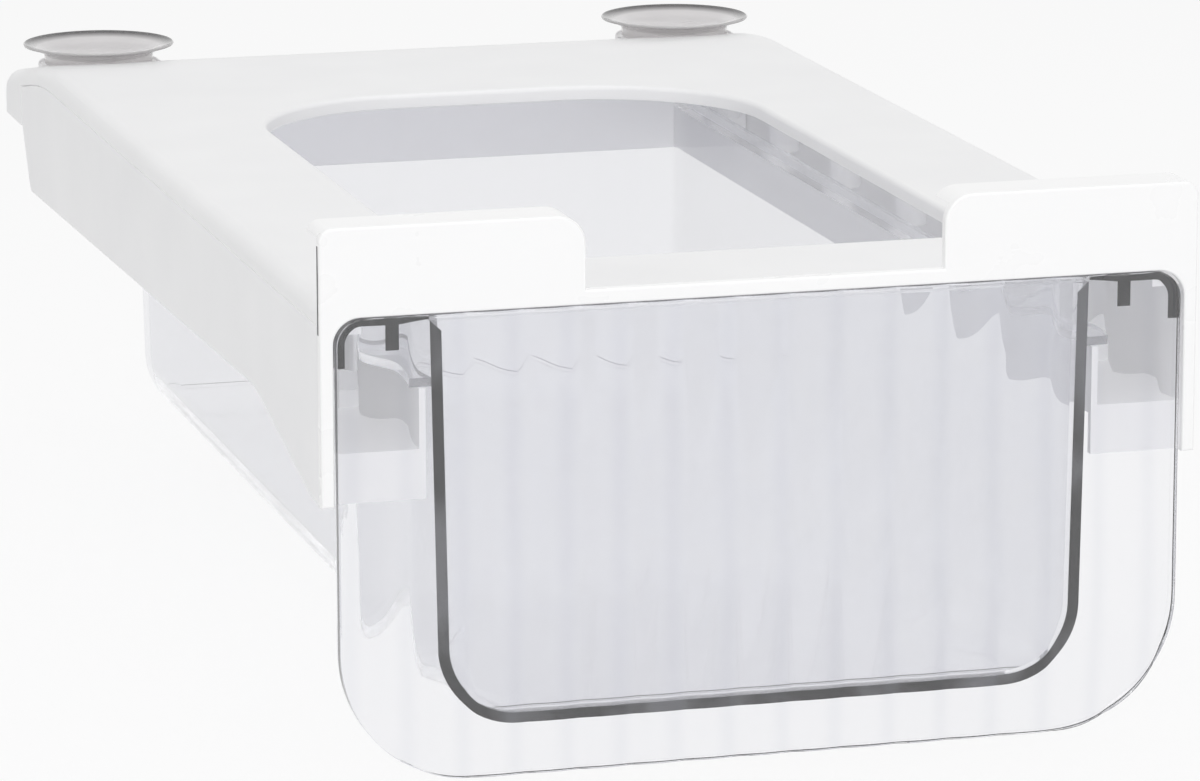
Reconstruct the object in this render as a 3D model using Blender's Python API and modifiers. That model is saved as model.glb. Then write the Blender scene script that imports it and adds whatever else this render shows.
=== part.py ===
"""Hanging fridge drawer: a white frame that grips a shelf, and a clear bin with a fluted front that slides out of it.

Blender 4.5. Units are metres, +Z is up and the front faces -Y. The plate's top plane, which lies against the
underside of the shelf, is Z = 0. The front of the fascia is Y = 0.
"""

import math

import bmesh
import bpy
from mathutils import Matrix

MM = 0.001

# Overall sizes
WIDTH = 200 * MM
REAR = 377.5 * MM
HALF_WIDTH = WIDTH / 2

# Clearances
BOND_GAP = 0.3 * MM
SLIDE_GAP = 0.3 * MM
SLIDE_SIDE_GAP = 0.4 * MM
STEM_GAP = 0.4 * MM
FRONT_SIDE_GAP = 0.8 * MM
BIN_SIDE_GAP = 1 * MM
BIN_TOP_GAP = 0.7 * MM
BIN_BACK_GAP = 7 * MM
BEHIND_FRONT_GAP = 0.3 * MM

# Top plate: flat, then sloping down behind the bend to the rear skirt
PLATE_THICKNESS = 3.2 * MM
SIDE_THICKNESS = 3 * MM
INNER_WALL = HALF_WIDTH - SIDE_THICKNESS
SHOULDER_RADIUS = 4.6 * MM
FLANGE_BELOW_SHOULDER = 0.2 * MM
FLANGE_DROP = SHOULDER_RADIUS + FLANGE_BELOW_SHOULDER
BEND_INSET = 56.7 * MM
BEND_Y = REAR - BEND_INSET
BEND_RADIUS = 170 * MM
SLOPE_SHARE = 0.18
REAR_RADIUS = 7 * MM
REAR_INNER_RADIUS = REAR_RADIUS - SIDE_THICKNESS
SKIRT_BOTTOM = -21 * MM
SKIRT_DEPTH = 26.5 * MM
SKIRT_FRONT = REAR - SKIRT_DEPTH

# Fascia with the hook that grips the shelf's front edge, a notch to see in by and two legs
FASCIA_THICKNESS = 2.2 * MM
FASCIA_BELOW_PLATE = 0.1 * MM
FASCIA_BOTTOM = -PLATE_THICKNESS - FASCIA_BELOW_PLATE
HOOK_GAP = 14.3 * MM
HOOK_DEPTH = 12.4 * MM
FASCIA_EDGE_RADIUS = 1.4 * MM
HOOK_EDGE_RADIUS = 0.7 * MM
FASCIA_CORNER_RADIUS = 3 * MM
NOTCH_HALF_WIDTH = 40.8 * MM
NOTCH_RADIUS = 6.5 * MM
LEG_WIDTH = 3 * MM
LEG_FILLET = 6 * MM
LEG_BELOW_LEDGE = 0.2 * MM
PLATE_FRONT = FASCIA_THICKNESS + BOND_GAP

# Fluted front, wide enough to hide the rails
FRONT_HALF_WIDTH = HALF_WIDTH - LEG_WIDTH - FRONT_SIDE_GAP
FRONT_THICKNESS = 3.2 * MM
FRONT_TOP = FASCIA_BOTTOM - BOND_GAP
FRONT_BELOW_BIN = 11.3 * MM
FRONT_TOP_RADIUS = 6 * MM
FRONT_BOTTOM_RADIUS = 30 * MM
FLUTE_PITCH = 12.2 * MM
FLUTE_COUNT = math.ceil(2 * FRONT_HALF_WIDTH / FLUTE_PITCH) + 1
FLUTE_DEPTH = 0.8 * MM
FLUTE_STEPS = 6

# Rails: a C section on each side, deeper at the front
CHANNEL_WIDTH = 21 * MM
RAIL_INNER_X = INNER_WALL - CHANNEL_WIDTH
RAIL_INSIDE_FRONT = FRONT_THICKNESS + BEHIND_FRONT_GAP
LIP_THICKNESS = 1.4 * MM
LIP_TOP = -20 * MM
LIP_HEIGHT = 9.4 * MM
FLOOR_TOP = LIP_TOP - LIP_HEIGHT
FLOOR_THICKNESS = 2 * MM
FLOOR_STEP = 4 * MM
FRONT_FLOOR_TOP = FLOOR_TOP - FLOOR_STEP
FLOOR_STEP_Y = 50 * MM
LEDGE_HEIGHT = 11.1 * MM
LEDGE_BOTTOM = FRONT_FLOOR_TOP - LEDGE_HEIGHT
LEG_BOTTOM = LEDGE_BOTTOM - LEG_BELOW_LEDGE
SEAT_WIDTH = 7 * MM
SEAT_INNER_X = INNER_WALL - SEAT_WIDTH
SEAT_THICKNESS = 2.2 * MM
SEAT_BEFORE_BEND = 20.8 * MM
SEAT_BACK = BEND_Y - SEAT_BEFORE_BEND
WALL_BACK = SKIRT_FRONT - BOND_GAP
WALL_REAR_RAKE = 11.1 * MM
WALL_REAR_DROP = 5.4 * MM
WALL_REAR_EDGE = 17.4 * MM
WALL_REAR_RADIUS = 4 * MM
WALL_WAIST_Y = 66 * MM
WALL_WAIST_Z = FLOOR_TOP - FLOOR_THICKNESS
WALL_WAIST_RADIUS = 12 * MM
WALL_HEEL_Y = 10 * MM
WALL_HEEL_RISE = 0.3 * MM
WALL_HEEL_RADIUS = 5 * MM

# Rear band between the rails
BAND_INSET = 49 * MM
BAND_FRONT = REAR - BAND_INSET
BAND_THICKNESS = 2 * MM
BAND_BELOW_RAIL = 0.6 * MM
BAND_BOTTOM = WALL_WAIST_Z - BAND_BELOW_RAIL

# Window in the plate, with a rim turned down round it
WINDOW_INSET = 12.8 * MM
WINDOW_HALF_WIDTH = RAIL_INNER_X - WINDOW_INSET
WINDOW_FRONT = 35.2 * MM
WINDOW_BACK_INSET = 76.9 * MM
WINDOW_BACK = BAND_FRONT - WINDOW_BACK_INSET
WINDOW_FRONT_RADIUS = 7 * MM
WINDOW_BACK_RADIUS = 42 * MM
RIM_WIDTH = 2 * MM
RIM_DEPTH = 1.3 * MM
RIM_BOTTOM = -PLATE_THICKNESS - RIM_DEPTH

# Pegs that hang from the plate and guide the edges of the bin's flanges
PEG_RADIUS = 4 * MM
PEG_INSET = 4.3 * MM
PEG_X = RAIL_INNER_X + PEG_INSET + PEG_RADIUS
PEG_FIRST_Y = 47 * MM
PEG_LAST_INSET = 21.5 * MM
PEG_COUNT = 6
PEG_PITCH = (BAND_FRONT - PEG_LAST_INSET - PEG_FIRST_Y) / (PEG_COUNT - 1)
PEG_OVER_FLOOR = 8.9 * MM

# Fins that stop the bin, one on the second peg of each side
FIN_PEG = 1
FIN_THICKNESS = 3 * MM
FIN_INSET = 1 * MM
FIN_INNER_X = RAIL_INNER_X + FIN_INSET
FIN_BOTTOM = -12 * MM

# Suction cups on bosses in the slope
CUP_RADIUS = 20 * MM
CUP_X = HALF_WIDTH - CUP_RADIUS
CUP_INSET = 33.5 * MM
CUP_Y = REAR - CUP_INSET
CUP_LIP_TOP = 1.8 * MM
CUP_LIP_THICKNESS = 0.6 * MM
CUP_DISH_DEPTH = 4.2 * MM
CUP_DISH_SHARES = ((0, 1), (0.35, 0.92), (0.65, 0.62), (0.87, 0.24), (1, 0))
CUP_BASE_DEPTH = 2.7 * MM
CUP_BASE_TOP = CUP_LIP_TOP - CUP_BASE_DEPTH
CUP_STEM_RADIUS = 3.9 * MM
CUP_HEAD_RADIUS = 6 * MM
CUP_HEAD_STRAIGHT = 1.2 * MM
CUP_HEAD_TIP = 1.5 * MM
CUP_HEAD_TIP_SHARE = 0.7
CUP_STEPS = 40
BOSS_WALL_GAP = 0.9 * MM
BOSS_RADIUS = CUP_RADIUS - SIDE_THICKNESS - BOSS_WALL_GAP
BOSS_RISE = 0.18 * MM
BOSS_TOP = BOSS_RISE - (CUP_Y - BEND_Y) * SLOPE_SHARE
BOSS_HEIGHT = 6.5 * MM
BOSS_BOTTOM = BOSS_TOP - BOSS_HEIGHT
BOSS_RING = 0.4 * MM
BOSS_RING_RISE = 0.6 * MM
RECESS_RADIUS = BOSS_RADIUS - BOSS_RING
CUP_BASE_GAP = 1.2 * MM
CUP_BASE_RADIUS = RECESS_RADIUS - CUP_BASE_GAP

# Bin: an open box with drafted walls and a flange on each side that runs on the rails' lips
BIN_TOP = RIM_BOTTOM - BIN_TOP_GAP
BIN_HEIGHT = 91 * MM
BIN_BOTTOM = BIN_TOP - BIN_HEIGHT
FRONT_BOTTOM = BIN_BOTTOM - FRONT_BELOW_BIN
BIN_WALL = 2.2 * MM
BIN_SIDE_DRAFT = 1.5 * MM
BIN_TOP_HALF_WIDTH = RAIL_INNER_X - BIN_SIDE_GAP
BIN_BOTTOM_HALF_WIDTH = BIN_TOP_HALF_WIDTH - BIN_SIDE_DRAFT
BIN_FRONT = FRONT_THICKNESS + BOND_GAP
BIN_BACK_DRAFT = 2 * MM
BIN_TOP_BACK = BAND_FRONT - BIN_BACK_GAP
BIN_BOTTOM_BACK = BIN_TOP_BACK - BIN_BACK_DRAFT
BIN_CORNER_RADIUS = 18 * MM
BIN_BACK_RADIUS = 10 * MM
BIN_FRONT_RADIUS = 2.6 * MM
BIN_INNER_FRONT_RADIUS = 1 * MM
BIN_FLANGE_THICKNESS = 2 * MM
LUG_LENGTH = 7 * MM
LUG_THICKNESS = 3 * MM
LUG_CATCH = 4 * MM
LUG_TOP = FIN_BOTTOM + LUG_CATCH

# How finely arcs are drawn, and how far a cutter or a joined piece runs past the face it meets
ARC_STEPS = 8
FINE_ARC_STEPS = 14
SHOULDER_STEPS = 4
PEG_STEPS = 20
BOSS_STEPS = 48
OVERRUN = 5 * MM
BITE = 1 * MM
WELD = 0.0001 * MM
CREASE_ANGLE = math.radians(60)
FLAT_ANGLE = math.radians(0.1)

# Colour as linear RGB, roughness and transmission of each piece
MATERIALS = {
    "top_frame": ((0.82, 0.82, 0.83), 0.38, 0.0),
    "front_fascia": ((0.90, 0.90, 0.90), 0.34, 0.0),
    "rail_left": ((0.80, 0.80, 0.81), 0.40, 0.0),
    "rail_right": ((0.80, 0.80, 0.81), 0.40, 0.0),
    "suction_cup_left": ((0.72, 0.70, 0.69), 0.12, 0.6),
    "suction_cup_right": ((0.72, 0.70, 0.69), 0.12, 0.6),
    "drawer_bin": ((0.82, 0.83, 0.87), 0.05, 0.9),
    "drawer_front": ((0.84, 0.85, 0.89), 0.06, 0.9),
}


def clear_scene():
    for obj in list(bpy.data.objects):
        bpy.data.objects.remove(obj, do_unlink=True)
    for collection in list(bpy.data.collections):
        bpy.data.collections.remove(collection)


def new_collection(name):
    collection = bpy.data.collections.new(name)
    bpy.context.scene.collection.children.link(collection)
    return collection


def slope_z(y, below):
    """Height of the line that runs the given distance below the plate's top, before the bend is rounded."""
    return -below - max(0, y - BEND_Y) * SLOPE_SHARE


def rounded(corners, steps):
    """Outline points from (u, v, radius) corners, each corner with a radius drawn as an arc."""
    points = []
    count = len(corners)
    for index, (u, v, radius) in enumerate(corners):
        if not radius:
            points.append((u, v))
            continue
        before = corners[index - 1]
        after = corners[(index + 1) % count]
        angle_in = math.atan2(before[1] - v, before[0] - u)
        angle_out = math.atan2(after[1] - v, after[0] - u)
        turn = (angle_out - angle_in + math.pi) % math.tau - math.pi
        half = abs(turn) / 2
        middle = angle_in + turn / 2
        centre_u = u + radius / math.sin(half) * math.cos(middle)
        centre_v = v + radius / math.sin(half) * math.sin(middle)
        sweep = math.pi - abs(turn)
        start = middle + math.pi + math.copysign(sweep / 2, turn)
        for step in range(steps + 1):
            angle = start - math.copysign(sweep * step / steps, turn)
            points.append((centre_u + radius * math.cos(angle), centre_v + radius * math.sin(angle)))
    return points


def made_mesh(obj):
    """Replaces a curve object by the mesh that Blender makes of it, welded and facing out."""
    bpy.context.view_layer.update()
    graph = bpy.context.evaluated_depsgraph_get()
    mesh = bpy.data.meshes.new_from_object(obj.evaluated_get(graph))
    name = obj.name
    matrix = obj.matrix_world.copy()
    bpy.data.objects.remove(obj, do_unlink=True)
    shape = bmesh.new()
    shape.from_mesh(mesh)
    bmesh.ops.remove_doubles(shape, verts=shape.verts, dist=WELD)
    bmesh.ops.transform(shape, matrix=matrix, verts=shape.verts)
    bmesh.ops.recalc_face_normals(shape, faces=shape.faces)
    shape.to_mesh(mesh)
    shape.free()
    made = bpy.data.objects.new(name, mesh)
    made.data.name = name
    return made


AXIS_TURNS = {
    "X": Matrix(((0, 0, 1, 0), (1, 0, 0, 0), (0, 1, 0, 0), (0, 0, 0, 1))),
    "Y": Matrix(((1, 0, 0, 0), (0, 0, -1, 0), (0, 1, 0, 0), (0, 0, 0, 1))),
    "Z": Matrix.Identity(4),
}


def prism(name, collection, outline, axis, low, high):
    """A flat outline drawn across the axis and extruded along it from low to high."""
    curve = bpy.data.curves.new(name, "CURVE")
    curve.dimensions = "2D"
    curve.fill_mode = "BOTH"
    curve.extrude = (high - low) / 2
    spline = curve.splines.new("POLY")
    spline.points.add(len(outline) - 1)
    for point, (u, v) in zip(spline.points, outline):
        point.co = (u, v, 0, 1)
    spline.use_cyclic_u = True
    obj = bpy.data.objects.new(name, curve)
    middle = (low + high) / 2
    offset = {"X": (middle, 0, 0), "Y": (0, middle, 0), "Z": (0, 0, middle)}[axis]
    obj.matrix_world = Matrix.Translation(offset) @ AXIS_TURNS[axis]
    bpy.context.scene.collection.objects.link(obj)
    made = made_mesh(obj)
    collection.objects.link(made)
    return made


def box(name, collection, low, high):
    mesh = bpy.data.meshes.new(name)
    shape = bmesh.new()
    bmesh.ops.create_cube(shape, size=1)
    for vert in shape.verts:
        vert.co = [low[axis] if vert.co[axis] < 0 else high[axis] for axis in range(3)]
    bmesh.ops.recalc_face_normals(shape, faces=shape.faces)
    shape.to_mesh(mesh)
    shape.free()
    obj = bpy.data.objects.new(name, mesh)
    collection.objects.link(obj)
    return obj


def post(name, collection, x, y, radius, bottom, top, steps):
    """An upright cylinder."""
    mesh = bpy.data.meshes.new(name)
    shape = bmesh.new()
    bmesh.ops.create_cone(
        shape, cap_ends=True, segments=steps, radius1=radius, radius2=radius, depth=top - bottom,
        matrix=Matrix.Translation((x, y, (top + bottom) / 2)),
    )
    shape.to_mesh(mesh)
    shape.free()
    obj = bpy.data.objects.new(name, mesh)
    collection.objects.link(obj)
    return obj


def combine(target, other, operation):
    """Adds a Boolean to the target. The other object becomes a helper that is left out of the build."""
    other.hide_render = True
    other.display_type = "WIRE"
    modifier = target.modifiers.new(other.name, "BOOLEAN")
    modifier.operation = operation
    modifier.solver = "EXACT"
    modifier.object = other


def finish(obj):
    """Gives a piece its own material."""
    colour, roughness, transmission = MATERIALS[obj.name]
    material = bpy.data.materials.new(obj.name)
    material.use_nodes = True
    shader = material.node_tree.nodes["Principled BSDF"]
    shader.inputs["Base Color"].default_value = (*colour, 1)
    shader.inputs["Roughness"].default_value = roughness
    shader.inputs["Transmission Weight"].default_value = transmission
    material.diffuse_color = (*colour, 1)
    obj.data.materials.clear()
    obj.data.materials.append(material)


def peg_y(index):
    return PEG_FIRST_Y + index * PEG_PITCH


def peg_bottom(index):
    floor = FRONT_FLOOR_TOP if peg_y(index) < FLOOR_STEP_Y else FLOOR_TOP
    return floor + PEG_OVER_FLOOR


def make_top_frame(parts, helpers):
    front = PLATE_FRONT
    rear_inner = REAR - SIDE_THICKNESS
    block = rounded(
        [
            (front, 0, 0),
            (BEND_Y, 0, BEND_RADIUS),
            (REAR, slope_z(REAR, 0), REAR_RADIUS),
            (REAR, SKIRT_BOTTOM, 0),
            (SKIRT_FRONT, SKIRT_BOTTOM, 0),
            (SKIRT_FRONT, slope_z(SKIRT_FRONT, FLANGE_DROP), 0),
            (BEND_Y, -FLANGE_DROP, BEND_RADIUS),
            (front, -FLANGE_DROP, 0),
        ],
        ARC_STEPS,
    )
    frame = prism("top_frame", parts, block, "X", -HALF_WIDTH, HALF_WIDTH)
    round_shoulders(frame)
    hollow = rounded(
        [
            (front - OVERRUN, -PLATE_THICKNESS, 0),
            (BEND_Y, -PLATE_THICKNESS, BEND_RADIUS),
            (rear_inner, slope_z(rear_inner, PLATE_THICKNESS), REAR_INNER_RADIUS),
            (rear_inner, SKIRT_BOTTOM - OVERRUN, 0),
            (front - OVERRUN, SKIRT_BOTTOM - OVERRUN, 0),
        ],
        ARC_STEPS,
    )
    combine(frame, prism("frame_hollow", helpers, hollow, "X", -INNER_WALL, INNER_WALL), "DIFFERENCE")
    rim = window_outline(RIM_WIDTH)
    combine(frame, prism("window_rim", helpers, rim, "Z", RIM_BOTTOM, -PLATE_THICKNESS + BITE), "UNION")
    window = prism("window_cut", helpers, window_outline(0), "Z", RIM_BOTTOM - OVERRUN, OVERRUN)
    combine(frame, window, "DIFFERENCE")
    band_x = INNER_WALL - BOND_GAP
    band = box(
        "rear_band", helpers,
        (-band_x, BAND_FRONT, BAND_BOTTOM),
        (band_x, BAND_FRONT + BAND_THICKNESS, -PLATE_THICKNESS),
    )
    combine(frame, band, "UNION")
    for side in (-1, 1):
        for index in range(PEG_COUNT):
            name = f"peg_{index}_{side}"
            peg = post(name, helpers, side * PEG_X, peg_y(index), PEG_RADIUS, peg_bottom(index),
                       -PLATE_THICKNESS + BITE, PEG_STEPS)
            combine(frame, peg, "UNION")
        fin_y = peg_y(FIN_PEG)
        ends = sorted((side * FIN_INNER_X, side * PEG_X))
        fin = box(
            f"stop_fin_{side}", helpers,
            (ends[0], fin_y - FIN_THICKNESS / 2, FIN_BOTTOM),
            (ends[1], fin_y + FIN_THICKNESS / 2, -PLATE_THICKNESS + BITE),
        )
        combine(frame, fin, "UNION")
        boss = post(f"boss_{side}", helpers, side * CUP_X, CUP_Y, BOSS_RADIUS, BOSS_BOTTOM,
                    BOSS_TOP + BOSS_RING_RISE, BOSS_STEPS)
        combine(frame, boss, "UNION")
        recess = post(f"recess_{side}", helpers, side * CUP_X, CUP_Y, RECESS_RADIUS, BOSS_TOP, OVERRUN, BOSS_STEPS)
        combine(frame, recess, "DIFFERENCE")
        hole = post(f"stem_hole_{side}", helpers, side * CUP_X, CUP_Y, CUP_STEM_RADIUS + STEM_GAP,
                    BOSS_BOTTOM - OVERRUN, OVERRUN, PEG_STEPS)
        combine(frame, hole, "DIFFERENCE")
    return frame


def round_shoulders(frame):
    """Rounds the two long upper edges of the frame's block, down to the bottom of the skirt."""
    shape = bmesh.new()
    shape.from_mesh(frame.data)
    flat_edges = [edge for edge in shape.edges if edge.calc_face_angle() < FLAT_ANGLE]
    bmesh.ops.dissolve_edges(shape, edges=flat_edges, use_verts=False)
    long_edges = [
        edge
        for edge in shape.edges
        if edge.calc_face_angle() > CREASE_ANGLE
        and abs(edge.verts[0].co.x - edge.verts[1].co.x) < WELD
        and all(is_upper(vert.co) for vert in edge.verts)
    ]
    bmesh.ops.bevel(
        shape, geom=long_edges, offset=SHOULDER_RADIUS, offset_type="OFFSET", segments=SHOULDER_STEPS,
        profile=0.5, affect="EDGES", clamp_overlap=False,
    )
    bmesh.ops.recalc_face_normals(shape, faces=shape.faces)
    shape.to_mesh(frame.data)
    shape.free()


def is_upper(point):
    """True on the plate's top and down the back of the skirt, and false on the lower outline."""
    on_back = point.y > REAR - REAR_RADIUS
    above_flange = point.z > slope_z(point.y, FLANGE_DROP / 2)
    return on_back or above_flange


def window_outline(grow):
    side = WINDOW_HALF_WIDTH + grow
    front = WINDOW_FRONT - grow
    back = WINDOW_BACK + grow
    return rounded(
        [
            (-side, front, WINDOW_FRONT_RADIUS + grow),
            (side, front, WINDOW_FRONT_RADIUS + grow),
            (side, back, WINDOW_BACK_RADIUS + grow),
            (-side, back, WINDOW_BACK_RADIUS + grow),
        ],
        FINE_ARC_STEPS,
    )


def make_fascia(parts, helpers):
    top = HOOK_GAP + FASCIA_THICKNESS
    section = rounded(
        [
            (0, LEG_BOTTOM, 0),
            (0, top, FASCIA_EDGE_RADIUS),
            (HOOK_DEPTH, top, HOOK_EDGE_RADIUS),
            (HOOK_DEPTH, HOOK_GAP, 0),
            (FASCIA_THICKNESS, HOOK_GAP, 0),
            (FASCIA_THICKNESS, LEG_BOTTOM, 0),
        ],
        ARC_STEPS,
    )
    fascia = prism("front_fascia", parts, section, "X", -HALF_WIDTH, HALF_WIDTH)
    leg_x = HALF_WIDTH - LEG_WIDTH
    flare = NOTCH_HALF_WIDTH + NOTCH_RADIUS
    face = rounded(
        [
            (-HALF_WIDTH, LEG_BOTTOM, 0),
            (-leg_x, LEG_BOTTOM, 0),
            (-leg_x, FASCIA_BOTTOM, LEG_FILLET),
            (leg_x, FASCIA_BOTTOM, LEG_FILLET),
            (leg_x, LEG_BOTTOM, 0),
            (HALF_WIDTH, LEG_BOTTOM, 0),
            (HALF_WIDTH, top, FASCIA_CORNER_RADIUS),
            (NOTCH_HALF_WIDTH, top, NOTCH_RADIUS),
            (NOTCH_HALF_WIDTH, 0, 0),
            (-NOTCH_HALF_WIDTH, 0, 0),
            (-NOTCH_HALF_WIDTH, top, NOTCH_RADIUS),
            (-HALF_WIDTH, top, FASCIA_CORNER_RADIUS),
        ],
        ARC_STEPS,
    )
    combine(fascia, prism("fascia_face", helpers, face, "Y", -OVERRUN, HOOK_DEPTH + OVERRUN), "INTERSECT")
    return fascia


def make_rail(parts, helpers, side, name):
    """One C-section rail. Its sizes are given for the right side and turned over for the left."""
    top_drop = FLANGE_DROP + BOND_GAP
    rear_low_y = WALL_BACK - WALL_REAR_RAKE
    rear_low_z = WALL_WAIST_Z - WALL_REAR_DROP
    start = PLATE_FRONT
    outline = rounded(
        [
            (start, -top_drop, 0),
            (BEND_Y, -top_drop, BEND_RADIUS),
            (WALL_BACK, slope_z(WALL_BACK, top_drop), 0),
            (WALL_BACK, rear_low_z + WALL_REAR_EDGE, 0),
            (rear_low_y, rear_low_z, WALL_REAR_RADIUS),
            (WALL_WAIST_Y, WALL_WAIST_Z, WALL_WAIST_RADIUS),
            (WALL_HEEL_Y, LEDGE_BOTTOM + WALL_HEEL_RISE, WALL_HEEL_RADIUS),
            (start, LEDGE_BOTTOM, 0),
        ],
        ARC_STEPS,
    )
    ends = sorted((side * INNER_WALL, side * HALF_WIDTH))
    rail = prism(name, parts, outline, "X", *ends)
    floor_back = BAND_FRONT - BOND_GAP
    lip_outer = RAIL_INNER_X + LIP_THICKNESS
    wall_bite = INNER_WALL + BITE
    seat_top = -PLATE_THICKNESS - BOND_GAP
    pieces = {
        "front_floor": ((RAIL_INNER_X, RAIL_INSIDE_FRONT, FRONT_FLOOR_TOP - FLOOR_THICKNESS),
                        (wall_bite, FLOOR_STEP_Y, FRONT_FLOOR_TOP)),
        "riser": ((RAIL_INNER_X, FLOOR_STEP_Y - FLOOR_THICKNESS, FRONT_FLOOR_TOP - FLOOR_THICKNESS),
                  (wall_bite, FLOOR_STEP_Y, FLOOR_TOP)),
        "floor": ((RAIL_INNER_X, FLOOR_STEP_Y - FLOOR_THICKNESS, FLOOR_TOP - FLOOR_THICKNESS),
                  (wall_bite, floor_back, FLOOR_TOP)),
        "lip": ((RAIL_INNER_X, RAIL_INSIDE_FRONT, FLOOR_TOP - FLOOR_THICKNESS),
                (lip_outer, floor_back, LIP_TOP)),
        "front_lip": ((RAIL_INNER_X, RAIL_INSIDE_FRONT, FRONT_FLOOR_TOP - FLOOR_THICKNESS),
                      (lip_outer, FLOOR_STEP_Y, LIP_TOP)),
        "ledge": ((RAIL_INNER_X, RAIL_INSIDE_FRONT, LEDGE_BOTTOM),
                  (wall_bite, RAIL_INSIDE_FRONT + FLOOR_THICKNESS, FRONT_FLOOR_TOP)),
        "seat": ((SEAT_INNER_X, RAIL_INSIDE_FRONT, -top_drop - SEAT_THICKNESS),
                 (wall_bite, SEAT_BACK, -top_drop)),
        "seat_pad": ((SEAT_INNER_X, RAIL_INSIDE_FRONT, -top_drop - SEAT_THICKNESS),
                     (INNER_WALL - BOND_GAP, SEAT_BACK, seat_top)),
    }
    for label, (low, high) in pieces.items():
        x_ends = sorted((side * low[0], side * high[0]))
        piece = box(f"{name}_{label}", helpers, (x_ends[0], *low[1:]), (x_ends[1], *high[1:]))
        combine(rail, piece, "UNION")
    return rail


def make_cup(parts, side, name):
    """A suction cup turned round its stem, with a head under the boss that keeps it on."""
    seat = BOSS_TOP + BOND_GAP
    head_top = BOSS_BOTTOM - BOND_GAP
    head_bottom = head_top - CUP_HEAD_STRAIGHT
    profile = [(CUP_RADIUS * r, CUP_LIP_TOP - CUP_DISH_DEPTH * depth) for r, depth in CUP_DISH_SHARES]
    profile += [
        (CUP_RADIUS, CUP_LIP_TOP - CUP_LIP_THICKNESS),
        (CUP_BASE_RADIUS, CUP_BASE_TOP),
        (CUP_BASE_RADIUS, seat),
        (CUP_STEM_RADIUS, seat),
        (CUP_STEM_RADIUS, head_top),
        (CUP_HEAD_RADIUS, head_top),
        (CUP_HEAD_RADIUS, head_bottom),
        (CUP_HEAD_RADIUS * CUP_HEAD_TIP_SHARE, head_bottom - CUP_HEAD_TIP),
        (0, head_bottom - CUP_HEAD_TIP),
    ]
    mesh = bpy.data.meshes.new(name)
    shape = bmesh.new()
    verts = [shape.verts.new((radius, 0, z)) for radius, z in profile]
    for first, second in zip(verts, verts[1:]):
        shape.edges.new((first, second))
    shape.to_mesh(mesh)
    shape.free()
    cup = bpy.data.objects.new(name, mesh)
    parts.objects.link(cup)
    screw = cup.modifiers.new("turn", "SCREW")
    screw.steps = CUP_STEPS
    screw.render_steps = CUP_STEPS
    screw.use_merge_vertices = True
    screw.merge_threshold = WELD
    cup.location = (side * CUP_X, CUP_Y, 0)
    return cup


def bin_body(name, collection, wall, top, front_radius):
    """The bin's outer body, or with a wall thickness the space inside it, as two crossed prisms."""
    side_draft = BIN_SIDE_DRAFT / BIN_HEIGHT
    back_draft = BIN_BACK_DRAFT / BIN_HEIGHT
    bottom = BIN_BOTTOM + wall
    top_x = BIN_TOP_HALF_WIDTH + (top - BIN_TOP) * side_draft - wall
    bottom_x = BIN_BOTTOM_HALF_WIDTH + wall * side_draft - wall
    across = rounded(
        [
            (-top_x, top, 0),
            (-bottom_x, bottom, BIN_CORNER_RADIUS - wall),
            (bottom_x, bottom, BIN_CORNER_RADIUS - wall),
            (top_x, top, 0),
        ],
        ARC_STEPS,
    )
    along = rounded(
        [
            (BIN_FRONT + wall, top, 0),
            (BIN_FRONT + wall, bottom, front_radius),
            (BIN_BOTTOM_BACK + wall * back_draft - wall, bottom, BIN_BACK_RADIUS - wall),
            (BIN_TOP_BACK + (top - BIN_TOP) * back_draft - wall, top, 0),
        ],
        ARC_STEPS,
    )
    body = prism(name, collection, across, "Y", BIN_FRONT - OVERRUN, BIN_TOP_BACK + OVERRUN)
    return body, along


def make_bin(parts, helpers):
    body, along = bin_body("drawer_bin", parts, 0, BIN_TOP, BIN_FRONT_RADIUS)
    limit = BIN_TOP_HALF_WIDTH + OVERRUN
    combine(body, prism("bin_length", helpers, along, "X", -limit, limit), "INTERSECT")
    flange_top = LIP_TOP + SLIDE_GAP + BIN_FLANGE_THICKNESS
    flange_x = PEG_X - PEG_RADIUS - SLIDE_SIDE_GAP
    root_x = BIN_BOTTOM_HALF_WIDTH
    for side in (-1, 1):
        ends = sorted((side * root_x, side * flange_x))
        flange = box(f"bin_flange_{side}", helpers, (ends[0], BIN_FRONT, LIP_TOP + SLIDE_GAP),
                     (ends[1], BIN_BOTTOM_BACK, flange_top))
        combine(body, flange, "UNION")
        lug_ends = sorted((side * (flange_x - LUG_THICKNESS), side * flange_x))
        lug = box(f"bin_lug_{side}", helpers, (lug_ends[0], BIN_BOTTOM_BACK - LUG_LENGTH, flange_top - BITE),
                  (lug_ends[1], BIN_BOTTOM_BACK, LUG_TOP))
        combine(body, lug, "UNION")
    space, space_along = bin_body("bin_space", helpers, BIN_WALL, BIN_TOP + OVERRUN, BIN_INNER_FRONT_RADIUS)
    combine(space, prism("bin_space_length", helpers, space_along, "X", -limit, limit), "INTERSECT")
    combine(body, space, "DIFFERENCE")
    return body


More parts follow.
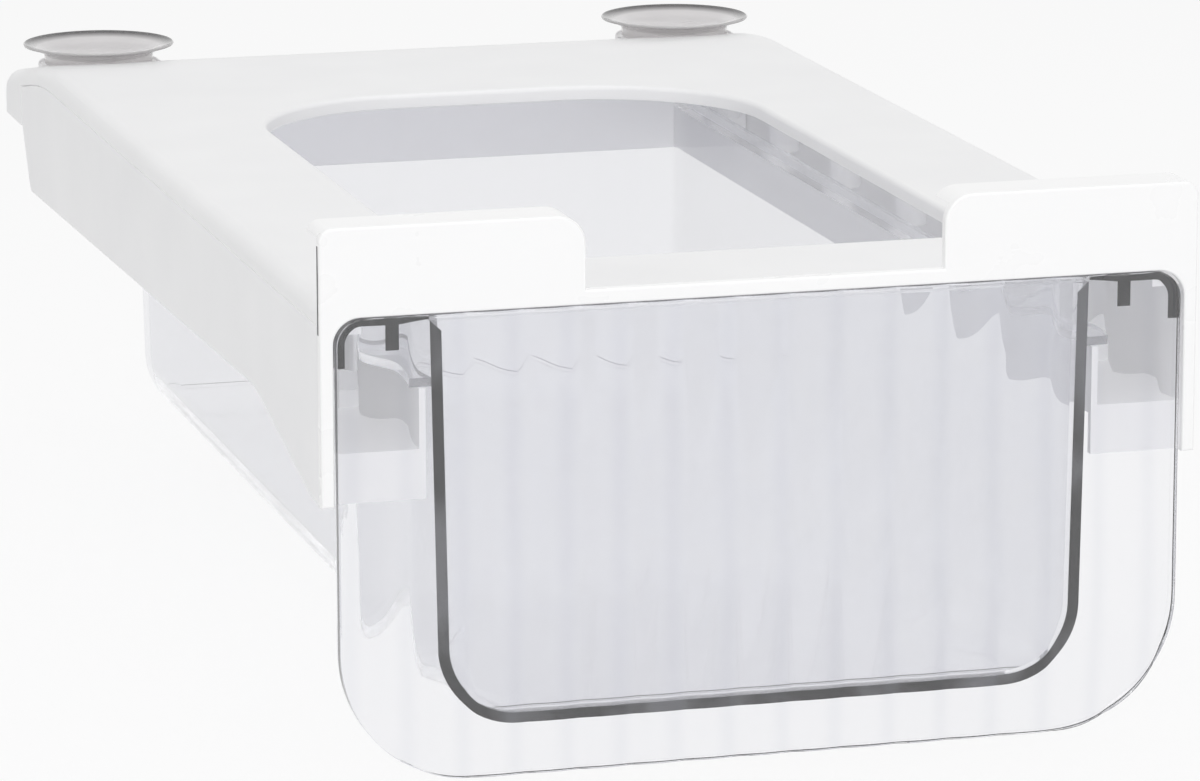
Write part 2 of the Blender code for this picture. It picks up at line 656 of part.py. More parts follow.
def make_front(parts, helpers):
    outline = rounded(
        [
            (-FRONT_HALF_WIDTH, FRONT_TOP, FRONT_TOP_RADIUS),
            (-FRONT_HALF_WIDTH, FRONT_BOTTOM, FRONT_BOTTOM_RADIUS),
            (FRONT_HALF_WIDTH, FRONT_BOTTOM, FRONT_BOTTOM_RADIUS),
            (FRONT_HALF_WIDTH, FRONT_TOP, FRONT_TOP_RADIUS),
        ],
        ARC_STEPS,
    )
    panel = prism("drawer_front", parts, outline, "Y", -OVERRUN, FRONT_THICKNESS + OVERRUN)
    flutes = []
    first = -FLUTE_PITCH * FLUTE_COUNT / 2
    for step in range(FLUTE_COUNT * FLUTE_STEPS + 1):
        share = step / FLUTE_STEPS
        swell = abs(math.sin(math.pi * share))
        flutes.append((first + share * FLUTE_PITCH, FLUTE_DEPTH * (1 - swell)))
    flutes += [(-first, FRONT_THICKNESS), (first, FRONT_THICKNESS)]
    plan = prism("flute_plan", helpers, flutes, "Z", FRONT_BOTTOM - OVERRUN, FRONT_TOP + OVERRUN)
    combine(panel, plan, "INTERSECT")
    return panel


def main():
    clear_scene()
    parts = new_collection("fridge_drawer_organizer")
    helpers = new_collection("cutters")
    pieces = [
        make_top_frame(parts, helpers),
        make_fascia(parts, helpers),
        make_rail(parts, helpers, -1, "rail_left"),
        make_rail(parts, helpers, 1, "rail_right"),
        make_cup(parts, -1, "suction_cup_left"),
        make_cup(parts, 1, "suction_cup_right"),
    ]
    drawer = [make_bin(parts, helpers), make_front(parts, helpers)]
    slide = bpy.data.objects.new("drawer_slide", None)
    slide.location = (0, 0, LIP_TOP)
    parts.objects.link(slide)
    bpy.context.view_layer.update()
    for piece in drawer:
        piece.parent = slide
        piece.matrix_parent_inverse = slide.matrix_world.inverted()
    for piece in pieces + drawer:
        finish(piece)


main()
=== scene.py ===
import math

import bmesh
import bpy
from mathutils import Matrix, Vector


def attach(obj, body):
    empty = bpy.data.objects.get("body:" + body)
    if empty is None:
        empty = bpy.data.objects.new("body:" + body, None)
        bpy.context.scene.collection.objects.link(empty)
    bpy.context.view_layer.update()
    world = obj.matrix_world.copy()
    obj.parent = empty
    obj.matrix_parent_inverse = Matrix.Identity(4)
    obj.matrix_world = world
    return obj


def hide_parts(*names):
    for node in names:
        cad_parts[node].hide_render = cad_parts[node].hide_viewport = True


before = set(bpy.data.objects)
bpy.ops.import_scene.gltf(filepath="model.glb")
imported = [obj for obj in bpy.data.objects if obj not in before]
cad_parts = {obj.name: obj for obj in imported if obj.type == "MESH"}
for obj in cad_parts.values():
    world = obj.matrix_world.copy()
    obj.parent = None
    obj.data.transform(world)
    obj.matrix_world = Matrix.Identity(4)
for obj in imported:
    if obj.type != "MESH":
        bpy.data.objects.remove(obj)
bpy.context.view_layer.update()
print("frame loaded:", ", ".join(sorted(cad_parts)))

mm = 0.001
weld = 0.000001  # metres, joins the loose triangles of a CAD node
nearly = 0.01  # millimetres within which two places count as the same
overrun = 5  # millimetres by which a cutting shape passes what it cuts
flatAngle = math.radians(0.4)  # faces that turn by less are made one
sharpAngle = math.radians(35)  # edges that turn by more are rounded


def newObject(name, data):
    made = bpy.data.objects.new(name, data)
    bpy.context.scene.collection.objects.link(made)
    return made


def meshObject(name, shape):
    mesh = bpy.data.meshes.new(name)
    shape.to_mesh(mesh)
    shape.free()
    return newObject(name, mesh)


# Shader node helpers

# Gives a node's sockets their values: a number, vector or colour, or another node's output
def feed(tree, node, values):
    for label, value in values.items():
        socket = node.inputs[label]
        if isinstance(value, bpy.types.NodeSocket):
            tree.links.new(value, socket)
        else:
            socket.default_value = (*value, 1) if socket.type == "RGBA" else value
    return node


def mathNode(tree, operation, *values):
    node = tree.nodes.new("ShaderNodeMath")
    node.operation = operation
    return feed(tree, node, dict(enumerate(values))).outputs[0]


def mixColours(tree, share, first, second):
    node = tree.nodes.new("ShaderNodeMix")
    node.data_type = "RGBA"
    return feed(tree, node, {"Factor": share, "A": first, "B": second}).outputs["Result"]


def mixShaders(tree, share, first, second):
    node = tree.nodes.new("ShaderNodeMixShader")
    return feed(tree, node, {"Fac": share, 1: first, 2: second}).outputs[0]


def noiseNode(tree, vector, scale, detail):
    node = tree.nodes.new("ShaderNodeTexNoise")
    return feed(tree, node, {"Vector": vector, "Scale": scale, "Detail": detail}).outputs["Fac"]


# Spreads a span of values over 0 to 1, or over other ends
def spreadNode(tree, value, span, ends=(0, 1)):
    node = tree.nodes.new("ShaderNodeMapRange")
    labels = ("Value", "From Min", "From Max", "To Min", "To Max")
    return feed(tree, node, dict(zip(labels, (value, *span, *ends)))).outputs["Result"]


# A value that is 1 for what the camera sees, straight on or in gloss and clear plastic
def seenRays(tree):
    path = tree.nodes.new("ShaderNodeLightPath")
    seen = path.outputs["Is Camera Ray"]
    for other in ("Is Glossy Ray", "Is Transmission Ray"):
        seen = mathNode(tree, "MAXIMUM", seen, path.outputs[other])
    return seen


# Camera at the photograph's angle
camera = {
    "eye": (-0.3883, -1.2484, 0.2669),
    "target": (-0.0032, 0.1234, -0.0510),
    "roll": -0.116,  # degrees
    "fieldAcross": 11.175,
    "near": 0.01,
    "far": 50,
}

# A lamp without a shadow also fills the inside evenly
lamps = {
    "front": {"place": (0.25, -2.0, 0.35), "size": 1.5, "power": 12.8, "shadow": False},
    "above": {"place": (0.1, -0.1, 1.7), "size": 1.8, "power": 12.6, "shadow": False},
    "left": {"place": (-1.9, -0.5, 0.4), "size": 1.2, "power": 5.2, "shadow": True},
}

studio = {
    "lampAim": (0, 0.15, -0.05),
    "ambient": 0.55,  # what the world gives the object
    "shown": 1.0,  # what the camera and clear plastic see
    "floorSpan": 14,
    "floorHeight": -0.10765,
    "floorColour": (0.9, 0.9, 0.905),
    "floorRough": 0.9,
    "shadowShare": 0.2,  # how much of the floor's shadow is seen on the plain white
}


def placeCamera():
    lens = bpy.data.cameras.new("camera")
    lens.sensor_fit = "HORIZONTAL"
    lens.angle = math.radians(camera["fieldAcross"])
    lens.clip_start = camera["near"]
    lens.clip_end = camera["far"]
    eye = Vector(camera["eye"])
    look = (Vector(camera["target"]) - eye).to_track_quat("-Z", "Y")
    roll = Matrix.Rotation(math.radians(camera["roll"]), 4, "Z")
    stand = newObject("camera", lens)
    stand.matrix_world = Matrix.Translation(eye) @ look.to_matrix().to_4x4() @ roll
    bpy.context.scene.camera = stand


def placeLamps():
    aim = Vector(studio["lampAim"])
    for name, lamp in lamps.items():
        light = bpy.data.lights.new(name, "AREA")
        light.size = lamp["size"]
        light.energy = lamp["power"]
        light.use_shadow = lamp["shadow"]
        stand = newObject(name, light)
        stand.location = lamp["place"]
        stand.rotation_euler = (aim - Vector(lamp["place"])).to_track_quat("-Z", "Y").to_euler()


def makeWorld():
    world = bpy.data.worlds.new("studio")
    world.use_nodes = True
    tree = world.node_tree
    ends = (studio["ambient"], studio["shown"])
    strength = spreadNode(tree, seenRays(tree), (0, 1), ends)
    feed(tree, tree.nodes["Background"], {"Color": (1, 1, 1), "Strength": strength})
    bpy.context.scene.world = world


def makeFloor():
    material = bpy.data.materials.new("paleFloor")
    material.use_nodes = True
    tree = material.node_tree
    shader = feed(tree, tree.nodes["Principled BSDF"], {
        "Base Color": studio["floorColour"],
        "Roughness": studio["floorRough"],
        "Specular IOR Level": 0,
    })
    glow = tree.nodes.new("ShaderNodeEmission")
    share = spreadNode(tree, seenRays(tree), (0, 1), (0, 1 - studio["shadowShare"]))
    shown = mixShaders(tree, share, shader.outputs[0], glow.outputs[0])
    feed(tree, tree.nodes["Material Output"], {"Surface": shown})

    shape = bmesh.new()
    lift = Matrix.Translation((0, 0, studio["floorHeight"]))
    half = studio["floorSpan"] / 2
    bmesh.ops.create_grid(shape, x_segments=2, y_segments=2, size=half, matrix=lift)
    ground = meshObject("floor", shape)
    ground.data.materials.append(material)


placeCamera()
placeLamps()
makeWorld()
makeFloor()
bpy.context.scene.view_settings.view_transform = "Standard"
print("camera, lamps and floor placed")


# Shader groups that the materials share

shared = {
    "noiseSpan": (0.3, 0.7),  # where most of a noise's values lie
    "wornScale": 42,
    "edgeSpan": (0.53, 0.6),  # pointiness, from a flat face to a rounded outer edge
    "breakSpan": (0.35, 0.65),
    "markTurn": (0.3, 0.5, 0.9),
    "markStretch": (1, 14, 5),
    "markSpan": (0.66, 0.74),  # only a noise's peaks
}


def newGroup(name, inputs, outputs):
    group = bpy.data.node_groups.new(name, "ShaderNodeTree")
    kinds = {"vector": "NodeSocketVector", "colour": "NodeSocketColor", "value": "NodeSocketFloat"}
    for label, kind in inputs.items():
        group.interface.new_socket(label, in_out="INPUT", socket_type=kinds[kind])
    for label, kind in outputs.items():
        group.interface.new_socket(label, in_out="OUTPUT", socket_type=kinds[kind])
    given = group.nodes.new("NodeGroupInput").outputs
    return group, given, group.nodes.new("NodeGroupOutput")


# Moulded plastic: slow flow patches, a fine grain and a finish that is not even all over
def makeMouldedGroup():
    group, given, out = newGroup(
        "mouldedPlastic",
        {
            "Vector": "vector",
            "Colour": "colour",
            "Patch Colour": "colour",
            "Patch Scale": "value",
            "Grain Scale": "value",
            "Smoothest": "value",
            "Roughest": "value",
        },
        {"Colour": "colour", "Roughness": "value", "Height": "value"},
    )
    place = given["Vector"]
    patch = noiseNode(group, place, given["Patch Scale"], detail=3)
    share = spreadNode(group, patch, shared["noiseSpan"])
    worn = noiseNode(group, place, shared["wornScale"], detail=4)
    ends = (given["Smoothest"], given["Roughest"])
    feed(group, out, {
        "Colour": mixColours(group, share, given["Colour"], given["Patch Colour"]),
        "Roughness": spreadNode(group, worn, shared["noiseSpan"], ends),
        "Height": noiseNode(group, place, given["Grain Scale"], detail=2),
    })
    return group


# Rubbed edges: a mask of the rounded outer edges, broken up by a noise
def makeEdgeGroup():
    group, given, out = newGroup(
        "rubbedEdges",
        {"Vector": "vector", "Break Scale": "value", "Amount": "value"},
        {"Mask": "value"},
    )
    form = group.nodes.new("ShaderNodeNewGeometry")
    edge = spreadNode(group, form.outputs["Pointiness"], shared["edgeSpan"])
    broken = noiseNode(group, given["Vector"], given["Break Scale"], detail=3)
    both = mathNode(group, "MULTIPLY", edge, spreadNode(group, broken, shared["breakSpan"]))
    feed(group, out, {"Mask": mathNode(group, "MULTIPLY", both, given["Amount"])})
    return group


# Fine handling marks: a noise drawn out along one direction, of which only the peaks are kept
def makeScratchGroup():
    group, given, out = newGroup(
        "handlingMarks",
        {"Vector": "vector", "Scale": "value", "Amount": "value"},
        {"Mask": "value"},
    )
    drawn = feed(group, group.nodes.new("ShaderNodeMapping"), {
        "Vector": given["Vector"],
        "Rotation": shared["markTurn"],
        "Scale": shared["markStretch"],
    })
    lines = noiseNode(group, drawn.outputs["Vector"], given["Scale"], detail=2)
    peaks = spreadNode(group, lines, shared["markSpan"])
    feed(group, out, {"Mask": mathNode(group, "MULTIPLY", peaks, given["Amount"])})
    return group


mouldedGroup = makeMouldedGroup()
edgeGroup = makeEdgeGroup()
scratchGroup = makeScratchGroup()


def placeGroup(tree, group, values):
    node = tree.nodes.new("ShaderNodeGroup")
    node.node_tree = group
    return feed(tree, node, values).outputs


def startMaterial(name):
    material = bpy.data.materials.new(name)
    material.use_nodes = True
    tree = material.node_tree
    place = tree.nodes.new("ShaderNodeTexCoord").outputs["Object"]
    return material, tree, tree.nodes["Principled BSDF"], place


# Feeds colour, roughness and relief from the shared groups
def finishSurface(tree, shader, place, look):
    moulded = placeGroup(tree, mouldedGroup, {
        "Vector": place,
        "Colour": look["colour"],
        "Patch Colour": look["patchColour"],
        "Patch Scale": look["patchScale"],
        "Grain Scale": look["grainScale"],
        "Smoothest": look["smoothest"],
        "Roughest": look["roughest"],
    })
    edges = placeGroup(tree, edgeGroup, {
        "Vector": place,
        "Break Scale": look["breakScale"],
        "Amount": look["edgeAmount"],
    })
    marks = placeGroup(tree, scratchGroup, {
        "Vector": place,
        "Scale": look["markScale"],
        "Amount": look["markAmount"],
    })
    relief = feed(tree, tree.nodes.new("ShaderNodeBump"), {
        "Strength": look["relief"],
        "Distance": look["reliefDepth"],
        "Height": moulded["Height"],
    })
    feed(tree, shader, {
        "Base Color": mixColours(tree, edges["Mask"], moulded["Colour"], look["edgeColour"]),
        "Roughness": mathNode(tree, "ADD", moulded["Roughness"], marks["Mask"]),
        "Normal": relief.outputs["Normal"],
        "IOR": look["ior"],
    })


def whitePlastic(name, look):
    material, tree, shader, place = startMaterial(name)
    finishSurface(tree, shader, place, look)
    return material


# Clear plastic that bends what is behind it and lets the lamps through
def clearPlastic(name, look):
    material, tree, shader, place = startMaterial(name)
    finishSurface(tree, shader, place, look)
    feed(tree, shader, {
        "Transmission Weight": look["clearness"],
        "Coat Weight": look["coat"],
        "Coat Roughness": look["coatRough"],
    })
    through = tree.nodes.new("ShaderNodeBsdfTransparent")
    feed(tree, through, {"Color": look["shadowTint"]})
    path = tree.nodes.new("ShaderNodeLightPath")
    shown = shader.outputs[0]
    for ray in ("Is Diffuse Ray", "Is Shadow Ray"):
        shown = mixShaders(tree, path.outputs[ray], shown, through.outputs[0])
    feed(tree, tree.nodes["Material Output"], {"Surface": shown})
    return material


# Painted shade for a dark strip seen end on: dark where light is trapped in it and greyer where it
# leaks
def shadeStripMaterial(name, look):
    material, tree, shader, place = startMaterial(name)
    drawn = tree.nodes.new("ShaderNodeMapping")
    feed(tree, drawn, {"Vector": place, "Scale": look["stretch"]})
    leaks = noiseNode(tree, drawn.outputs["Vector"], look["leakScale"], detail=3)
    share = spreadNode(tree, leaks, look["leakSpan"])
    fine = noiseNode(tree, place, look["fineScale"], detail=2)
    ends = (look["smoothest"], look["roughest"])
    feed(tree, shader, {
        "Base Color": mixColours(tree, share, look["dark"], look["pale"]),
        "Roughness": spreadNode(tree, fine, shared["noiseSpan"], ends),
        "Specular IOR Level": look["gloss"],
    })
    return material


# Lays a colour over a material's own, by a share
def layColour(tree, share, colour):
    shader = tree.nodes["Principled BSDF"]
    own = shader.inputs["Base Color"].links[0].from_socket
    feed(tree, shader, {"Base Color": mixColours(tree, share, own, colour)})


# Mesh helpers

# A flat face from (u, v) corners in millimetres. A corner that also has a radius and a number
# of steps is rounded by a bevel
def flatShape(corners):
    shape = bmesh.new()
    verts = [shape.verts.new((corner[0] * mm, corner[1] * mm, 0)) for corner in corners]
    shape.faces.new(verts)
    for index, (u, v, *rounding) in enumerate(corners):
        if not rounding:
            continue
        radius, steps = rounding
        before = Vector(corners[index - 1][:2]) - Vector((u, v))
        after = Vector(corners[(index + 1) % len(corners)][:2]) - Vector((u, v))
        reach = radius * mm / math.tan(before.angle(after) / 2)
        bmesh.ops.bevel(
            shape, geom=[verts[index]], offset=reach, offset_type="OFFSET", affect="VERTICES",
            segments=steps, profile=0.5, material=-1,
        )
    bmesh.ops.remove_doubles(shape, verts=shape.verts, dist=weld)
    return shape


# Lay a flat shape's u and v across X or Y, and its depth along it
axisTurns = {
    "X": Matrix(((0, 0, 1, 0), (1, 0, 0, 0), (0, 1, 0, 0), (0, 0, 0, 1))),
    "Y": Matrix(((1, 0, 0, 0), (0, 0, 1, 0), (0, 1, 0, 0), (0, 0, 0, 1))),
}


# Draws a flat shape out along an axis, from low to high in millimetres
def extruded(shape, axis, low, high):
    made = bmesh.ops.extrude_face_region(shape, geom=shape.faces[:])
    top = [item for item in made["geom"] if isinstance(item, bmesh.types.BMVert)]
    bmesh.ops.translate(shape, verts=top, vec=(0, 0, (high - low) * mm))
    bmesh.ops.translate(shape, verts=shape.verts, vec=(0, 0, low * mm))
    bmesh.ops.transform(shape, matrix=axisTurns[axis], verts=shape.verts)
    bmesh.ops.recalc_face_normals(shape, faces=shape.faces)
    return shape


# A box between two corners in millimetres
def block(low, high):
    shape = bmesh.new()
    bmesh.ops.create_cube(shape, size=mm)
    spans = [b - a for a, b in zip(low, high)]
    middle = [(a + b) / 2 * mm for a, b in zip(low, high)]
    bmesh.ops.scale(shape, verts=shape.verts, vec=spans)
    bmesh.ops.translate(shape, verts=shape.verts, vec=middle)
    return shape


# Merges a shape's loose triangles and makes its flat faces whole
def cleaned(shape):
    bmesh.ops.remove_doubles(shape, verts=shape.verts, dist=weld)
    bmesh.ops.dissolve_limit(
        shape, angle_limit=flatAngle, verts=shape.verts, edges=shape.edges,
        use_dissolve_boundaries=False,
    )
    return shape


def copyOf(node):
    shape = bmesh.new()
    shape.from_mesh(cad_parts[node].data)
    return cleaned(shape)


# Rounds the sharp edges whose ends are both wanted, by their places in millimetres
def softened(shape, radius, segments=2, wanted=None):
    sharp = [edge for edge in shape.edges if edge.calc_face_angle(0) > sharpAngle]
    if wanted:
        sharp = [edge for edge in sharp if all(wanted(vert.co / mm) for vert in edge.verts)]
    bmesh.ops.bevel(
        shape, geom=sharp, offset=radius * mm, offset_type="OFFSET", segments=segments,
        profile=0.5, affect="EDGES", clamp_overlap=False, material=-1,
    )
    return shape


# Cuts, adds or keeps what is common, and gives the result as a new bmesh
def joined(target, others, operation):
    objects = [meshObject(f"helper{index}", shape) for index, shape in enumerate([target, *others])]
    for other in objects[1:]:
        modifier = objects[0].modifiers.new("join", "BOOLEAN")
        modifier.operation = operation
        modifier.solver = "EXACT"
        modifier.object = other
    bpy.context.view_layer.update()
    result = bmesh.new()
    result.from_object(objects[0], bpy.context.evaluated_depsgraph_get())
    for helper in objects:
        bpy.data.meshes.remove(helper.data)
    return cleaned(result)


# Turns a right-hand shape into its left-hand twin
def mirror(shape):
    bmesh.ops.scale(shape, verts=shape.verts, vec=(-1, 1, 1))
    bmesh.ops.recalc_face_normals(shape, faces=shape.faces)


# Spins a profile of (radius, height) points round an upright line at place
def turned(profile, place, steps):
    shape = bmesh.new()
    verts = [shape.verts.new((radius * mm, 0, height * mm)) for radius, height in profile]
    for first, second in zip(verts, verts[1:]):
        shape.edges.new((first, second))
    bmesh.ops.spin(
        shape, geom=shape.verts[:] + shape.edges[:], cent=(0, 0, 0), axis=(0, 0, 1),
        angle=math.tau, steps=steps, use_merge=True,
    )
    bmesh.ops.remove_doubles(shape, verts=shape.verts, dist=weld)
    bmesh.ops.recalc_face_normals(shape, faces=shape.faces)
    bmesh.ops.translate(shape, verts=shape.verts, vec=[value * mm for value in place])
    return shape


# Makes a shape a piece of the scene, shaded smooth but for edges that turn by more than creaseAt
def addPiece(name, shape, body, material, replaced=(), creaseAt=50, weighted=True):
    for face in shape.faces:
        face.smooth = True
    for edge in shape.edges:
        edge.smooth = edge.calc_face_angle(0) < math.radians(creaseAt)
    piece = meshObject(name, shape)
    piece.data.materials.append(material)
    if weighted:
        even = piece.modifiers.new("evenShading", "WEIGHTED_NORMAL")
        even.keep_sharp = True
    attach(piece, body)
    if replaced:
        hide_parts(*replaced)


# White frame

frameLook = {
    "colour": (0.865, 0.865, 0.87),
    "patchColour": (0.845, 0.845, 0.852),
    "patchScale": 9,
    "grainScale": 2600,
    "smoothest": 0.3,
    "roughest": 0.42,
    "breakScale": 160,
    "edgeAmount": 0.5,
    "edgeColour": (0.9, 0.9, 0.9),
    "markScale": 60,
    "markAmount": 0.05,
    "relief": 0.25,
    "reliefDepth": 0.00004,
    "ior": 1.48,
}
topFrame = {
    "edgeRadius": 0.3,
    "rimRadius": 1.3,
    "rimSteps": 5,
    "rimLow": -4.5,
    "rimLift": 0.8,
    "sideFace": 99.9,
    "skirtFront": 351.2,
    "windowSide": 63.4,
    "windowFront": 35,
    "windowBack": 251.8,
}


def onWindowTop(spot):
    across = abs(spot.x) < topFrame["windowSide"]
    along = topFrame["windowFront"] < spot.y < topFrame["windowBack"]
    return across and along and spot.z > -nearly


# The flange's outer lower edge stays sharp, because the strip above it is too thin to round
def offThinSide(spot):
    return abs(spot.x) < topFrame["sideFace"] or spot.y > topFrame["skirtFront"]


def buildTopFrame():
    shape = copyOf("top_frame")
    low = topFrame["rimLow"]
    rim = [vert for vert in shape.verts if abs(vert.co.z / mm - low) < nearly]
    bmesh.ops.translate(shape, verts=rim, vec=(0, 0, topFrame["rimLift"] * mm))
    softened(shape, topFrame["rimRadius"], topFrame["rimSteps"], onWindowTop)
    softened(shape, topFrame["edgeRadius"], wanted=offThinSide)
    white = whitePlastic("frameWhite", frameLook)
    addPiece("moulded_frame", shape, "holder", white, ["top_frame"])


buildTopFrame()
print("frame made")


# Front strip with its hook, notch and legs

# The front strip's white is lighter than the frame's: painted light, as the strip faces the front
# lamp
litFasciaLook = {
    **frameLook,
    "colour": (0.935, 0.935, 0.935),
    "patchColour": (0.93, 0.93, 0.931),
    "patchScale": 6,
    "smoothest": 0.24,
    "roughest": 0.34,
    "edgeColour": (0.94, 0.94, 0.94),
    "edgeAmount": 0.2,
    "markAmount": 0.02,
}
fascia = {
    "halfWidth": 99.95,
    "thickness": 2.2,
    "top": 16.5,
    "cornerRadius": 3,
    "cornerSteps": 8,
    "hookGap": 14.3,
    "hookDepth": 12.4,
    "bottom": -3.3,
    "legBottom": -44.7,
    "legWidth": 3,
    "legFillet": 6,
    "legSteps": 10,
    "notchHalfWidth": 40.8,
    "notchRadius": 6.5,
    "notchSteps": 12,
    "edgeRadius": 0.55,
    "edgeSteps": 3,
}
# Painted shade for the dark line at each end of the front strip
seamShadeLook = {
    "stretch": (1, 1, 0.4),
    "leakScale": 120,
    "leakSpan": (0.4, 0.65),
    "dark": (0.05, 0.05, 0.055),
    "pale": (0.3, 0.3, 0.31),
    "fineScale": 900,
    "smoothest": 0.4,
    "roughest": 0.6,
    "gloss": 0.05,
}
endShade = {
    "low": -6.9,
    "high": 12.6,
    "front": 1.1,
    "back": 2.2,
    "inner": 99.5,
    "outer": 100,
    "edgeRadius": 0.12,
}


# Only the edges of the front face and of the hook's end are rounded
def onShownEdge(spot):
    onHook = spot.y > fascia["hookDepth"] - nearly and spot.z > fascia["hookGap"] - nearly
    return spot.y < nearly or onHook


def buildFascia():
    half = fascia["halfWidth"]
    low = fascia["legBottom"]
    leg = half - fascia["legWidth"]
    notch = fascia["notchHalfWidth"]
    legTop = (fascia["bottom"], fascia["legFillet"], fascia["legSteps"])
    corner = (fascia["top"], fascia["cornerRadius"], fascia["cornerSteps"])
    notchTop = (fascia["top"], fascia["notchRadius"], fascia["notchSteps"])
    shape = extruded(flatShape([
        (-half, low), (-leg, low), (-leg, *legTop), (leg, *legTop), (leg, low), (half, low),
        (half, *corner), (notch, *notchTop), (notch, 0), (-notch, 0), (-notch, *notchTop),
        (-half, *corner),
    ]), "Y", 0, fascia["hookDepth"])
    shelfRoom = block(
        (-half - overrun, fascia["thickness"], low - overrun),
        (half + overrun, fascia["hookDepth"] + overrun, fascia["hookGap"]),
    )
    shape = joined(shape, [shelfRoom], "DIFFERENCE")
    softened(shape, fascia["edgeRadius"], fascia["edgeSteps"], onShownEdge)
    white = whitePlastic("frontLitWhite", litFasciaLook)
    addPiece("front_strip", shape, "holder", white, ["front_fascia"])


# Painted shade: a dark line down each end of the front strip, where its end face falls in shade
def buildEndShades():
    dark = shadeStripMaterial("endShadeDark", seamShadeLook)
    for side, name in ((-1, "left"), (1, "right")):
        ends = sorted((side * endShade["inner"], side * endShade["outer"]))
        shape = block(
            (ends[0], endShade["front"], endShade["low"]), (ends[1], endShade["back"], endShade["high"]),
        )
        softened(shape, endShade["edgeRadius"])
        addPiece(f"end_shade_{name}", shape, "holder", dark)


buildFascia()
buildEndShades()
print("front strip made")


# Rails

# The rails' white is a little lighter than the frame's: painted light for their shaded insides
litRailLook = {
    **frameLook,
    "colour": (0.88, 0.88, 0.885),
    "patchColour": (0.865, 0.865, 0.873),
    "patchScale": 11,
    "smoothest": 0.32,
    "roughest": 0.46,
}
rail = {"edgeRadius": 0.3, "outerFace": 100}


def onOuterFace(spot):
    return abs(spot.x) > rail["outerFace"] - nearly


def buildRails():
    white = whitePlastic("railLitWhite", litRailLook)
    for name in ("left", "right"):
        node = f"rail_{name}"
        shape = softened(copyOf(node), rail["edgeRadius"], wanted=onOuterFace)
        addPiece(f"guide_rail_{name}", shape, "holder", white, [node])


buildRails()
print("rails made")


# Suction cups

cupLook = {
    **frameLook,
    "colour": (0.71, 0.695, 0.7),
    "patchColour": (0.65, 0.635, 0.64),
    "patchScale": 60,
    "grainScale": 900,
    "smoothest": 0.05,
    "roughest": 0.13,
    "edgeAmount": 0.2,
    "edgeColour": (0.93, 0.92, 0.92),
    "relief": 0.08,
    "coat": 0.5,
    "coatRough": 0.03,
    "ior": 1.3,
    "clearness": 0.45,
    "shadowTint": (0.75, 0.74, 0.74),
    "lipShadeColour": (0.07, 0.068, 0.07),
    "lipShadeSpan": (0.0166, 0.0192),  # metres from the cup's middle, over which the painted shade inside the lip darkens
    "rimSpan": (0.01985, 0.0196),  # and over which it turns pale again at the rim
    "heightSpan": (-0.0012, -0.0008),  # below it the cup stays pale
}
cup = {
    "radius": 20,
    "x": 80,
    "y": 344,
    "lipTop": 1.8,
    "lipThickness": 0.6,
    "lipRounding": 0.25,
    "lipCrown": 0.04,
    "lipReach": 2.4,
    "lipDrop": 0.5,
    "dishPoints": 15,
    "dishDepth": 4.2,
    "dishPower": 2.2,
    "baseRadius": 14.5,
    "baseTop": -0.9,
    "baseFlare": 0.6,
    "baseRise": 0.25,
    "taper": 0.1,
    "rounding": 0.3,
    "seat": -3.7,
    "stemRadius": 3.9,
    "headTop": -10.8,
    "headRadius": 6,
    "headBottom": -12,
    "shoulderShare": 0.9,
    "shoulderDrop": 0.8,
    "tipShare": 0.7,
    "tip": -13.5,
    "steps": 72,
    "creaseAt": 60,
}


# Painted shade: the dark band just inside the cup's lip, by the distance from the stem
def paintCupLipShade(material):
    tree = material.node_tree
    place = tree.nodes.new("ShaderNodeTexCoord").outputs["Object"]
    mirrored = tree.nodes.new("ShaderNodeVectorMath")
    mirrored.operation = "ABSOLUTE"
    feed(tree, mirrored, {0: place})
    centred = feed(tree, tree.nodes.new("ShaderNodeMapping"), {
        "Vector": mirrored.outputs[0],
        "Location": (-cup["x"] * mm, -cup["y"] * mm, 0),
        "Scale": (1, 1, 0),
    })
    reach = tree.nodes.new("ShaderNodeVectorMath")
    reach.operation = "LENGTH"
    feed(tree, reach, {0: centred.outputs["Vector"]})
    height = feed(tree, tree.nodes.new("ShaderNodeSeparateXYZ"), {0: place})
    share = spreadNode(tree, reach.outputs["Value"], cupLook["lipShadeSpan"])
    for value, span in ((reach.outputs["Value"], "rimSpan"), (height.outputs["Z"], "heightSpan")):
        share = mathNode(tree, "MULTIPLY", share, spreadNode(tree, value, cupLook[span]))
    layColour(tree, share, cupLook["lipShadeColour"])


def cupProfile():
    lip = cup["lipTop"]
    under = lip - cup["lipThickness"]
    points = []
    for index in range(cup["dishPoints"]):
        share = index / (cup["dishPoints"] - 0.5)  # the last half step is the lip's rounding
        fall = cup["dishDepth"] * (1 - share ** cup["dishPower"])
        points.append((cup["radius"] * share, lip - fall))
    rim = cup["radius"]
    base = cup["baseRadius"]
    stem = cup["stemRadius"]
    head = cup["headRadius"]
    taper = cup["taper"]
    soft = cup["rounding"]
    return points + [
        (rim - cup["lipRounding"], lip - cup["lipCrown"]),
        (rim, lip - cup["lipRounding"]),
        (rim - taper, under),
        (rim - cup["lipReach"], under - cup["lipDrop"]),
        (base + cup["baseFlare"], cup["baseTop"] + cup["baseRise"]),
        (base, cup["baseTop"] - soft),
        (base - taper, cup["seat"] + soft),
        (base - taper - soft, cup["seat"]),
        (stem + soft, cup["seat"]),
        (stem, cup["seat"] - soft),
        (stem, cup["headTop"] + soft),
        (stem + soft, cup["headTop"]),
        (head - soft, cup["headTop"]),
        (head, cup["headTop"] - soft),
        (head, cup["headBottom"]),
        (head * cup["shoulderShare"], cup["headBottom"] - cup["shoulderDrop"]),
        (head * cup["tipShare"], cup["tip"]),
        (0, cup["tip"]),
    ]


